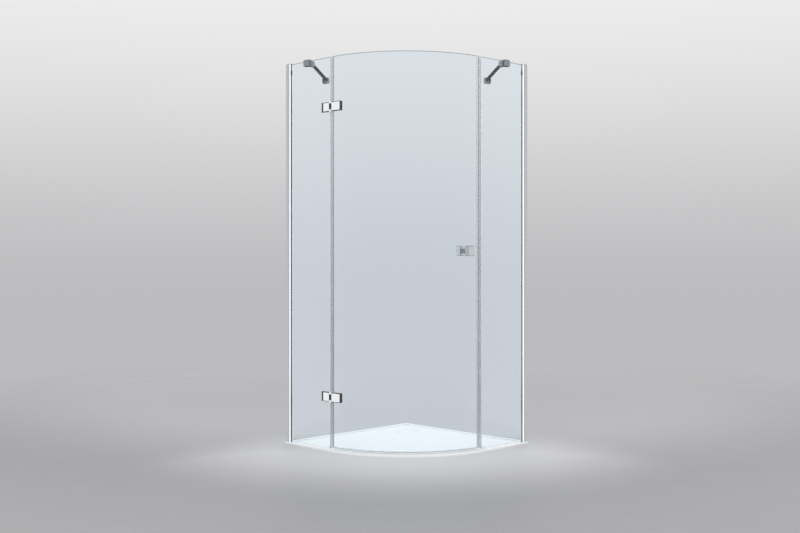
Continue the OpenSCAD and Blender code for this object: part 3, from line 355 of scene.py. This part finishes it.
def chrome_material(name, colour, bevel, end=None, axis=None):
    """Chrome plate over polished brass: nearly a mirror, with the least haze of hand polishing. Its
    bevels and rounded ends turn away from the room in front, so they get a painted dark reflection,
    toned by how far the surface turns from the leaf's face. A strip beside the end that is at the X
    given, as far as 18 mm from it, gets the same painted dark reflection. A knuckle round the axis
    at the X given is kept free of that painted dark reflection and stays bright all round."""
    material, tree = new_tree(name)
    grain = noise(tree, 160, detail=3.0)
    place = add(tree, "ShaderNodeTexCoord").outputs
    turned = worked(tree, "ABSOLUTE", along(tree, place["Normal"], "Y"))
    faced = share(tree, turned, *CHROME_FACED)
    across = along(tree, place["Object"], "X")
    if axis is not None:
        aside = worked(tree, "ABSOLUTE", worked(tree, "SUBTRACT", across, axis))
        faced = worked(tree, "MAXIMUM", faced, share(tree, aside, *KNUCKLE_BRIGHT))
    if end is not None:
        # Share past the end strip; the strip itself gets the painted dark reflection
        flat = share(tree, across, *(end + distance for distance in LEAF_PAST_PAINTED_END))
        faced = worked(tree, "MULTIPLY", faced, flat)
    # Painted dark reflection where the surface turns from the leaf's face, or lies in the end strip
    tone = blended(tree, faced, bevel, tinted(tree, grain, colour, dark=0.97))
    body = add(
        tree, "ShaderNodeBsdfPrincipled",
        {"Base Color": tone, "Metallic": 1.0, "Roughness": ranged(tree, grain, 0.03, 0.07)},
    )
    finish(tree, body)
    return material


def knob_material(name, colour):
    """Satin chrome plate: blasted before plating, so its shine is spread."""
    return metal_material(name, colour, rough=(0.28, 0.38), scale=700, depth=0.000008)


def arm_material(name, colour):
    """Chrome plate over buffed brass: dim, also at its rim, and sharp in what it mirrors.
    On the bars it gets a very dark colour, a painted dark reflection.
    """
    return metal_material(name, colour, rough=(0.03, 0.07), scale=400, rim=0.15)


def aluminium_material(colour):
    """Bright anodised aluminium: drawn along its length by the die, so its shine is streaked."""
    return metal_material(
        "bright_anodised_aluminium", colour, rough=(0.12, 0.24), scale=300, stretch=DRAWN,
        depth=0.00001,
    )


def channel_material(colour):
    """Satin anodised aluminium: etched before anodising, greyer than the bright profile in it."""
    return metal_material(
        "satin_anodised_aluminium", colour, rough=(0.26, 0.36), scale=300, stretch=DRAWN,
        depth=0.00001,
    )


def rail_material(colour):
    """Silver anodised aluminium with a fine haze. Its colour is a little grey in place of the
    floor, which it would mirror."""
    return metal_material(
        "silver_anodised_aluminium", colour, rough=(0.16, 0.26), scale=400, depth=0.00001
    )


def steel_material(colour):
    """Turned stainless steel: fine tool marks, 1 mm apart and less, blur its reflections."""
    return metal_material(
        "turned_stainless_steel", colour, rough=(0.22, 0.36), scale=900, depth=0.00001
    )


def seal_material(name, colour, milky):
    """Extruded clear PVC: lets most light straight through, with a soft shine, a slight milkiness,
    which is the share given, and faint upright lines from the die."""
    material, tree = new_tree(name)
    lines = noise(tree, 500, stretch=EXTRUDED)
    body = add(
        tree, "ShaderNodeBsdfPrincipled",
        {"Base Color": tinted(tree, lines, colour, dark=0.95), "IOR": PVC_INDEX,
         "Roughness": ranged(tree, lines, 0.16, 0.3),
         "Normal": bumped(tree, lines, depth=0.00002)},
    )
    clear = add(tree, "ShaderNodeBsdfTransparent", {"Color": (0.975, 0.98, 0.985, 1)})
    finish(tree, mixed(tree, milky, clear, body))
    return material


def moulded_material(name, colour, rough, scale, depth):
    """A moulded or extruded solid colour: dull, with a fine skin that varies its shine."""
    material, tree = new_tree(name)
    skin = noise(tree, scale, detail=3.0)
    body = add(
        tree, "ShaderNodeBsdfPrincipled",
        {"Base Color": tinted(tree, skin, colour, dark=0.85),
         "Roughness": ranged(tree, skin, *rough), "Normal": bumped(tree, skin, depth)},
    )
    finish(tree, body)
    return material


def tray_material(colour, skirt):
    """Gel coat over cast stone resin: white, softly glossy, with a barely wavy skin 4 mm across.
    Its skirt, the upright faces outside the shower, is a shade greyer: a painted shade, where
    the top and the inside keep the plain white."""
    material, tree = new_tree("gel_coated_stone_resin")
    skin, cloud = noise(tree, 240), noise(tree, 5)
    place = add(tree, "ShaderNodeTexCoord").outputs
    upward = share(tree, along(tree, place["Normal"], "Z"), *TRAY_UPWARD)
    inside = share(tree, away(tree, place["Object"], ARC_CENTRE), *TRAY_INSIDE)
    # The skirt gets the painted shade, the top and inside the plain white
    shaded_tone, white = (tinted(tree, cloud, tone, dark=0.985) for tone in (skirt, colour))
    body = add(
        tree, "ShaderNodeBsdfPrincipled",
        {"Base Color": blended(tree, worked(tree, "MAXIMUM", upward, inside), shaded_tone, white),
         "Roughness": ranged(tree, cloud, 0.26, 0.32),
         "Coat Weight": 0.3, "Coat Roughness": 0.08, "Normal": bumped(tree, skin, depth=0.00002)},
    )
    finish(tree, body)
    return material


def dress(nodes, material):
    """Gives a material to the solids named."""
    for node in nodes:
        solid = frame["nodes"][node]
        solid.data.materials.clear()
        solid.data.materials.append(material)


def coat(slots, material):
    """Gives a material to every solid of the record's slots."""
    parts = frame["record"]["subparts"]
    dress([part["node"] for part in parts if part["material_slot"] in slots], material)


# Pieces


def box_of(node):
    """A node's lowest and highest corners, as arrays."""
    return [np.array(corner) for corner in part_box(node)]


def carried(name, points, across, outward, profile, body, material):
    """A closed profile carried along a path: point + u * across + v * outward, for every profile
    point (u, v) and path point, joined in quads, with both ends closed by a flat face. Across and
    outward are one direction for the whole path, or one for each of its points."""
    across, outward = (np.broadcast_to(way, points.shape) for way in (across, outward))
    grid = (
        points[:, None]
        + profile[None, :, :1] * across[:, None]
        + profile[None, :, 1:] * outward[:, None]
    )
    rows, columns = grid.shape[:2]
    index = np.arange(rows * columns).reshape(rows, columns)
    beside = np.roll(index, -1, 1)
    quads = np.stack([index[:-1], beside[:-1], beside[1:], index[1:]], -1).reshape(-1, 4)
    mesh = bpy.data.meshes.new(name)
    mesh.from_pydata(
        grid.reshape(-1, 3).tolist(), [],
        quads.tolist() + [index[0, ::-1].tolist(), index[-1].tolist()],
    )
    tidy = bmesh.new()
    tidy.from_mesh(mesh)
    bmesh.ops.recalc_face_normals(tidy, faces=tidy.faces)
    tidy.to_mesh(mesh)
    tidy.free()
    mesh.materials.append(material)
    piece = bpy.data.objects.new(name, mesh)
    bpy.context.collection.objects.link(piece)
    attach(piece, body)


def arris_profile(width):
    """A thin band folded round a square corner at the origin, with the glass at u < 0 and v < 0:
    a quarter circle of the band's thickness joins its two flat legs."""
    thick, clear = ARRIS_THICK, ARRIS_GAP
    turn = np.linspace(0, np.pi / 2, FOLD_POINTS)
    fold = np.stack([np.sin(turn), np.cos(turn)], -1) * thick
    legs = np.array([[-width, clear], [-width, thick]])
    back = np.array([[thick, -width], [clear, -width], [clear, clear]])
    return np.concatenate([legs, fold, back])


def panel_paths():
    """The fixed panels' arrises: name, path, across, outward and body. The two top corners of each
    panel are straight lines, and so are the upright corners of its free edge."""
    paths = []
    for side, node in ((0, "left_glass_panel"), (1, "right_glass_panel")):
        low, high = box_of(node)
        wall_end = low[0] if side == 0 else high[1]
        free_end = high[0] if side == 0 else low[1]
        faces = (low[1], high[1]) if side == 0 else (high[0], low[0])
        for number, face in enumerate(faces):
            out, along_wall = np.zeros(3), np.zeros(3)
            out[1 - side] = np.sign(face - sum(faces) / 2)
            along_wall[side] = np.sign(free_end - wall_end)
            start, stop = np.zeros(3), np.zeros(3)
            start[side], stop[side] = wall_end, free_end
            start[1 - side] = stop[1 - side] = face
            start[2] = stop[2] = high[2]
            foot = np.array([*stop[:2], low[2]])
            for part, line, outward in (
                ("top", [start, stop], (0, 0, 1)), ("edge", [stop, foot], along_wall)
            ):
                name = f"{node}_{part}_arris_{number + 1}"
                paths.append((name, np.array(line), out, outward, "enclosure"))
    return paths


def door_paths():
    """The door's arrises, likewise. Its level corners are circles round the centre of the round
    corner, centre + radius * (cos a, sin a) at a fixed height, for the angles that its glass spans,
    and its upright ones are lines at both ends of them."""
    low, high = box_of("door_glass")
    mesh = frame["nodes"]["door_glass"].data
    points = np.empty(len(mesh.vertices) * 3)
    mesh.vertices.foreach_get("co", points)
    reach = points.reshape(-1, 3)[:, :2] - ARC_CENTRE[:2]
    radius = np.linalg.norm(reach, axis=1)
    angle = np.arctan2(reach[:, 1], reach[:, 0])
    turn = np.linspace(angle.min(), angle.max(), CURVE_POINTS)
    spoke = np.stack([np.cos(turn), np.sin(turn), 0 * turn], -1)
    paths = []
    for number, (r, sign) in enumerate(((radius.max(), 1), (radius.min(), -1))):
        for height, way, part in ((high[2], 1, "top"), (low[2], -1, "foot")):
            name = f"door_glass_{part}_arris_{number + 1}"
            path = spoke * r + [*ARC_CENTRE[:2], height]
            paths.append((name, path, spoke * sign, (0, 0, way), "door"))
        for k, way, part in ((0, -1, "hinge"), (-1, 1, "closing")):
            name = f"door_glass_{part}_arris_{number + 1}"
            line = spoke[k] * r + ARC_CENTRE + np.array([[0, 0, low[2]], [0, 0, high[2]]])
            tangent = np.array([-spoke[k][1], spoke[k][0], 0]) * way
            paths.append((name, line, spoke[k] * sign, tangent, "door"))
    return paths


class SHOWER_OT_glass(bpy.types.Operator):
    """Finish the two fixed panels and the curved door glass"""

    bl_idname = "shower.glass"
    bl_label = "Glass"

    def execute(self, context):
        coat({"clear_glass"}, glass_material(context.scene.shower_finishes.glass))
        return {"FINISHED"}


class SHOWER_OT_arrises(bpy.types.Operator):
    """Make the ground arrises along the edges of the three pieces of glass"""

    bl_idname = "shower.arrises"
    bl_label = "Glass arrises"

    def execute(self, context):
        looks = context.scene.shower_finishes
        ground = edge_material("ground_glass_arris", looks.edge, clear=0.15)
        # Upright arrises: paler than the level ones, partly a painted highlight
        polished = edge_material("polished_glass_arris", looks.polished, clear=0.3)
        level, upright = arris_profile(looks.arris), arris_profile(looks.upright)
        for name, points, across, outward, body in panel_paths() + door_paths():
            flat = "top" in name or "foot" in name
            material, profile = (ground, level) if flat else (polished, upright)
            carried(name, points, across, outward, profile, body, material)
        return {"FINISHED"}


class SHOWER_OT_metalwork(bpy.types.Operator):
    """Finish the hinges, knobs, arms, profiles, rail and screws"""

    bl_idname = "shower.metalwork"
    bl_label = "Metalwork"

    def execute(self, context):
        looks = context.scene.shower_finishes
        chrome = looks.chrome, looks.bevel
        coat({"chrome"}, chrome_material("polished_chrome_plate", *chrome))
        # Panel leaves: painted dark reflection on the strip at their outer end; knuckles kept
        # bright
        leaves = ("upper_hinge_panel_leaf", "lower_hinge_panel_leaf")
        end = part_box(leaves[0])[0][0]
        axis = sum(corner[0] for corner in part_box("hinge_pins")) / 2
        dress(leaves, chrome_material("dubbed_chrome_plate", *chrome, end, axis))
        # Door leaves: painted dark reflection on bevels, knuckles kept free of it
        leaves = ("upper_hinge_door_leaf", "lower_hinge_door_leaf")
        dress(leaves, chrome_material("buffed_chrome_plate", *chrome, axis=axis))
        coat({"satin_chrome"}, knob_material("satin_chrome_plate", looks.knob))
        # Knob inside: the same satin chrome, painted lighter
        dress(("inner_knob",), knob_material("satin_chrome_plate_inside", looks.inner))
        # Bars: a very dark copy of the arms' chrome, a painted dark reflection
        coat({"bright_steel"}, arm_material("black_chrome_plate", looks.arms))
        tips = (
            "left_arm_clamp", "right_arm_clamp", "left_arm_wall_socket", "right_arm_wall_socket",
        )
        dress(tips, arm_material("grey_chrome_plate", looks.clamps))
        coat({"bright_aluminium"}, aluminium_material(looks.aluminium))
        rail = rail_material(looks.rail)
        dress(("threshold_rail", "left_threshold_end", "right_threshold_end"), rail)
        coat({"satin_aluminium"}, channel_material(looks.channel))
        coat({"stainless_steel"}, steel_material(looks.steel))
        return {"FINISHED"}


class SHOWER_OT_seals(bpy.types.Operator):
    """Finish the seals, gaskets, pads, bushes and magnet strips"""

    bl_idname = "shower.seals"
    bl_label = "Seals"

    def execute(self, context):
        looks = context.scene.shower_finishes
        coat({"clear_pvc"}, seal_material("extruded_clear_pvc", looks.seal, milky=0.06))
        dress(("hinge_side_seal",), seal_material("extruded_dull_pvc", looks.milky, milky=0.32))
        coat({"pale_magnet"}, seal_material("magnet_strip_in_clear_pvc", looks.pale, milky=0.12))
        for slot, name, colour, rough, scale, depth in (
            ("grey_magnet", "ferrite_magnet_strip", looks.magnet, (0.44, 0.56), 600, 0.00002),
            ("black_rubber", "black_epdm_rubber", looks.rubber, (0.56, 0.68), 700, 0.00003),
            ("black_plastic", "black_acetal", looks.plastic, (0.34, 0.46), 500, 0.00001),
        ):
            coat({slot}, moulded_material(name, colour, rough, scale, depth))
        return {"FINISHED"}


class SHOWER_OT_tray(bpy.types.Operator):
    """Finish the tray and the waste cover"""

    bl_idname = "shower.tray"
    bl_label = "Tray"

    def execute(self, context):
        looks = context.scene.shower_finishes
        coat({"tray_white"}, tray_material(looks.tray, looks.skirt))
        return {"FINISHED"}


# Stage


def floor_material(stage):
    """Painted screed: matt, with a pool of light round the tray, and darker in front of it than
    behind. Far off it fades into the backdrop. Behind the tray, glass shows the backdrop instead of
    it, as the photo's glass is one even tone down to the tray."""
    material, tree = new_tree("painted_screed")
    place = add(tree, "ShaderNodeTexCoord").outputs["Object"]

    def faded(centre, reach):
        """A share that rises smoothly over the distance from a centre."""
        return share(tree, away(tree, place, centre), *reach, "SMOOTHSTEP")

    around = blended(tree, faded(*FLOOR_FRONT), stage.floor_back, stage.floor_front)
    dusk = worked(tree, "MAXIMUM", *(faded(*spot) for spot in FLOOR_DUSK))
    cloud = noise(tree, 6, detail=3.0)
    body = add(
        tree, "ShaderNodeBsdfPrincipled",
        {"Base Color": blended(tree, dusk, stage.floor, around),
         "Roughness": ranged(tree, cloud, 0.5, 0.6), "Specular IOR Level": 0.3},
    )
    through = add(tree, "ShaderNodeLightPath").outputs["Is Transmission Ray"]
    behind = worked(tree, "MULTIPLY", through, faded(*FLOOR_BEHIND))
    lost = worked(tree, "MAXIMUM", behind, faded(*FLOOR_END))
    finish(tree, mixed(tree, lost, body, add(tree, "ShaderNodeBsdfTransparent")))
    return material


def floor_object(stage):
    """A disc of rings about the enclosure: radius grows with the square of the ring's number."""
    turn, ring = np.meshgrid(
        np.linspace(0, 2 * np.pi, FLOOR_SPOKES + 1)[:-1],
        np.linspace(0, 1, FLOOR_RINGS + 1)[1:] ** 2 * FLOOR_REACH,
    )
    x, y = FLOOR_CENTRE
    points = np.stack([x + ring * np.cos(turn), y + ring * np.sin(turn), 0 * ring - FLOOR_DROP], -1)
    rows, columns = turn.shape
    index = np.arange(rows * columns).reshape(rows, columns)
    beside = np.roll(index, -1, 1)
    quads = np.stack([index[:-1], index[1:], beside[1:], beside[:-1]], -1).reshape(-1, 4)
    mesh = bpy.data.meshes.new("floor")
    mesh.from_pydata(points.reshape(-1, 3).tolist(), [], quads.tolist() + [index[0].tolist()])
    mesh.materials.append(floor_material(stage))
    floor = bpy.data.objects.new("floor", mesh)
    bpy.context.collection.objects.link(floor)
    floor.visible_glossy = False


def backdrop(stage):
    """A background that pales upwards, seen by the camera and through glass. What metal and glass
    mirror is a bright room with a dark ceiling, and diffuse light is the same from all round."""
    world = bpy.data.worlds.new("studio")
    bpy.context.scene.world = world
    world.use_nodes = True
    tree = world.node_tree
    tree.nodes.clear()
    up = along(tree, add(tree, "ShaderNodeTexCoord").outputs["Generated"], "Z")
    path = add(tree, "ShaderNodeLightPath").outputs

    def gated(value, depth):
        """The value, for rays that haven't bounced off a surface of that kind yet."""
        return worked(tree, "MULTIPLY", value, worked(tree, "LESS_THAN", path[depth], 0.5))

    low = blended(tree, path["Is Transmission Ray"], stage.lower, stage.behind)
    rise = share(tree, up, *BACKDROP_RISE, "SMOOTHSTEP")
    ends = blended(tree, worked(tree, "GREATER_THAN", up, 0.0), stage.below, stage.above)
    level = share(tree, worked(tree, "ABSOLUTE", up), *ROOM_ENDS, "SMOOTHSTEP")
    room = blended(tree, level, [c * stage.glow for c in stage.around], ends)
    even, mirrored, shown = (
        add(tree, "ShaderNodeBackground", {"Color": colour, "Strength": strength})
        for colour, strength in (
            ((1, 1, 1, 1), stage.ambient), (room, 1.0), (blended(tree, rise, low, stage.upper), 1.0)
        )
    )
    lit = mixed(tree, gated(path["Is Glossy Ray"], "Diffuse Depth"), even, mirrored)
    seen = worked(tree, "MAXIMUM", path["Is Camera Ray"], path["Is Transmission Ray"])
    straight = gated(gated(seen, "Diffuse Depth"), "Glossy Depth")
    sky = mixed(tree, straight, lit, shown)
    add(tree, "ShaderNodeOutputWorld", {"Surface": sky.outputs[0]})


def lamp(name, place, target, size, power):
    """A rectangular lamp that points at a target and is seen neither in metal nor in glass."""
    data = bpy.data.lights.new(name, "AREA")
    data.shape = "RECTANGLE"
    data.size, data.size_y = size
    data.energy = power
    thing = bpy.data.objects.new(name, data)
    bpy.context.collection.objects.link(thing)
    thing.location = place
    thing.visible_glossy = False
    thing.visible_transmission = False
    way = np.array(target) - np.array(place)
    thing.rotation_euler = (
        np.arctan2(np.hypot(way[0], way[1]), -way[2]), 0, np.arctan2(way[1], way[0]) - np.pi / 2
    )


class SHOWER_OT_stage(bpy.types.Operator):
    """Set up the floor, background, lamps and camera"""

    bl_idname = "shower.stage"
    bl_label = "Stage"

    def execute(self, context):
        stage = context.scene.shower_stage
        floor_object(stage)
        backdrop(stage)
        for name, (place, target, size) in LAMPS.items():
            lamp(name, place, target, size, getattr(stage, name))
        data = bpy.data.cameras.new("camera")
        data.lens, data.sensor_width, data.clip_end = stage.lens, SENSOR, SIGHT
        data.shift_x, data.shift_y = stage.shift_x, stage.shift_y
        camera = bpy.data.objects.new("camera", data)
        context.collection.objects.link(camera)
        out = stage.camera_away / 2**0.5
        camera.location = (out, -out, stage.camera_up)
        camera.rotation_euler = (np.pi / 2, 0, np.pi / 4)
        context.scene.camera = camera
        context.scene.view_settings.view_transform = "Standard"
        return {"FINISHED"}


class SHOWER_PT_panel(bpy.types.Panel):
    """Buttons and settings for the enclosure"""

    bl_label = "Corner shower enclosure"
    bl_idname = "SHOWER_PT_panel"
    bl_space_type = "VIEW_3D"
    bl_region_type = "UI"
    bl_category = "Shower"

    def draw(self, context):
        for step in STEPS:
            self.layout.operator(step.bl_idname)
        for group in (context.scene.shower_finishes, context.scene.shower_stage):
            box = self.layout.box()
            for name in group.__annotations__:
                box.prop(group, name)


STEPS = (
    SHOWER_OT_glass,
    SHOWER_OT_arrises,
    SHOWER_OT_metalwork,
    SHOWER_OT_seals,
    SHOWER_OT_tray,
    SHOWER_OT_stage,
)
CLASSES = (ShowerFinishes, ShowerStage, *STEPS, SHOWER_PT_panel)


def register():
    for kind in CLASSES:
        bpy.utils.register_class(kind)
    bpy.types.Scene.shower_finishes = bpy.props.PointerProperty(type=ShowerFinishes)
    bpy.types.Scene.shower_stage = bpy.props.PointerProperty(type=ShowerStage)


def unregister():
    del bpy.types.Scene.shower_finishes
    del bpy.types.Scene.shower_stage
    for kind in reversed(CLASSES):
        bpy.utils.unregister_class(kind)


def main():
    register()
    bpy.ops.shower.glass()
    bpy.ops.shower.arrises()
    bpy.ops.shower.metalwork()
    bpy.ops.shower.seals()
    bpy.ops.shower.tray()
    bpy.ops.shower.stage()


if __name__ == "__main__":
    main()
